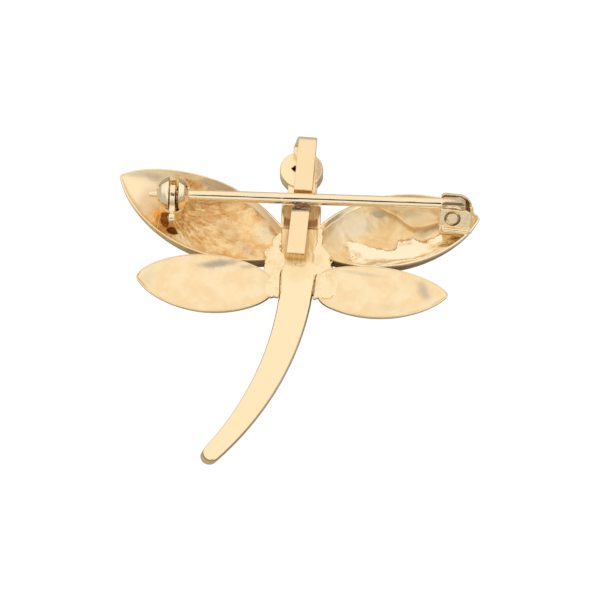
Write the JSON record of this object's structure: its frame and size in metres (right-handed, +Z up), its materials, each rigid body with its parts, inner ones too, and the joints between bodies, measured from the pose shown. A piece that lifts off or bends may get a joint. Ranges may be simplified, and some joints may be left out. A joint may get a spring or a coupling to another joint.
{
  "type": "insect brooch",
  "caption": "Dragonfly brooch in gold with hollow leaf-shaped wings, a curved tail, a hinged pin, a ball-shaped safety catch and a soldered loop for a chain.",
  "frame": {"origin": "centre of the bounding box in plan, on the surface that the brooch lies on face down", "axes": "+X along the pin from the catch to the hinge, +Y from the tail to the head, +Z up, out of the brooch's back"},
  "size_m": [0.0429, 0.042, 0.0068],
  "materials": {
    "body_gold": "polished yellow gold",
    "pin_gold": "drawn and polished yellow gold",
    "lever_gold": "polished yellow gold"
  },
  "bodies": {
    "frame": {"brooch_body": "body_gold", "hinge_rivet": "pin_gold"},
    "pin": {"pin_stem": "pin_gold"},
    "lever": {"catch_lever": "lever_gold"}
  },
  "joints": [
    {"name": "pin_swing", "type": "hinge", "parent": "frame", "child": "pin", "pos_m": [0.01821, 0.01214, 0.00368], "axis": [0, 0.848, -0.5299], "range_deg": [0, 90]},
    {"name": "lever_turn", "type": "hinge", "parent": "frame", "child": "lever", "pos_m": [-0.01492, 0.01278, 0.0047], "axis": [-1, 0, 0], "range_deg": [0, 100]}
  ]
}
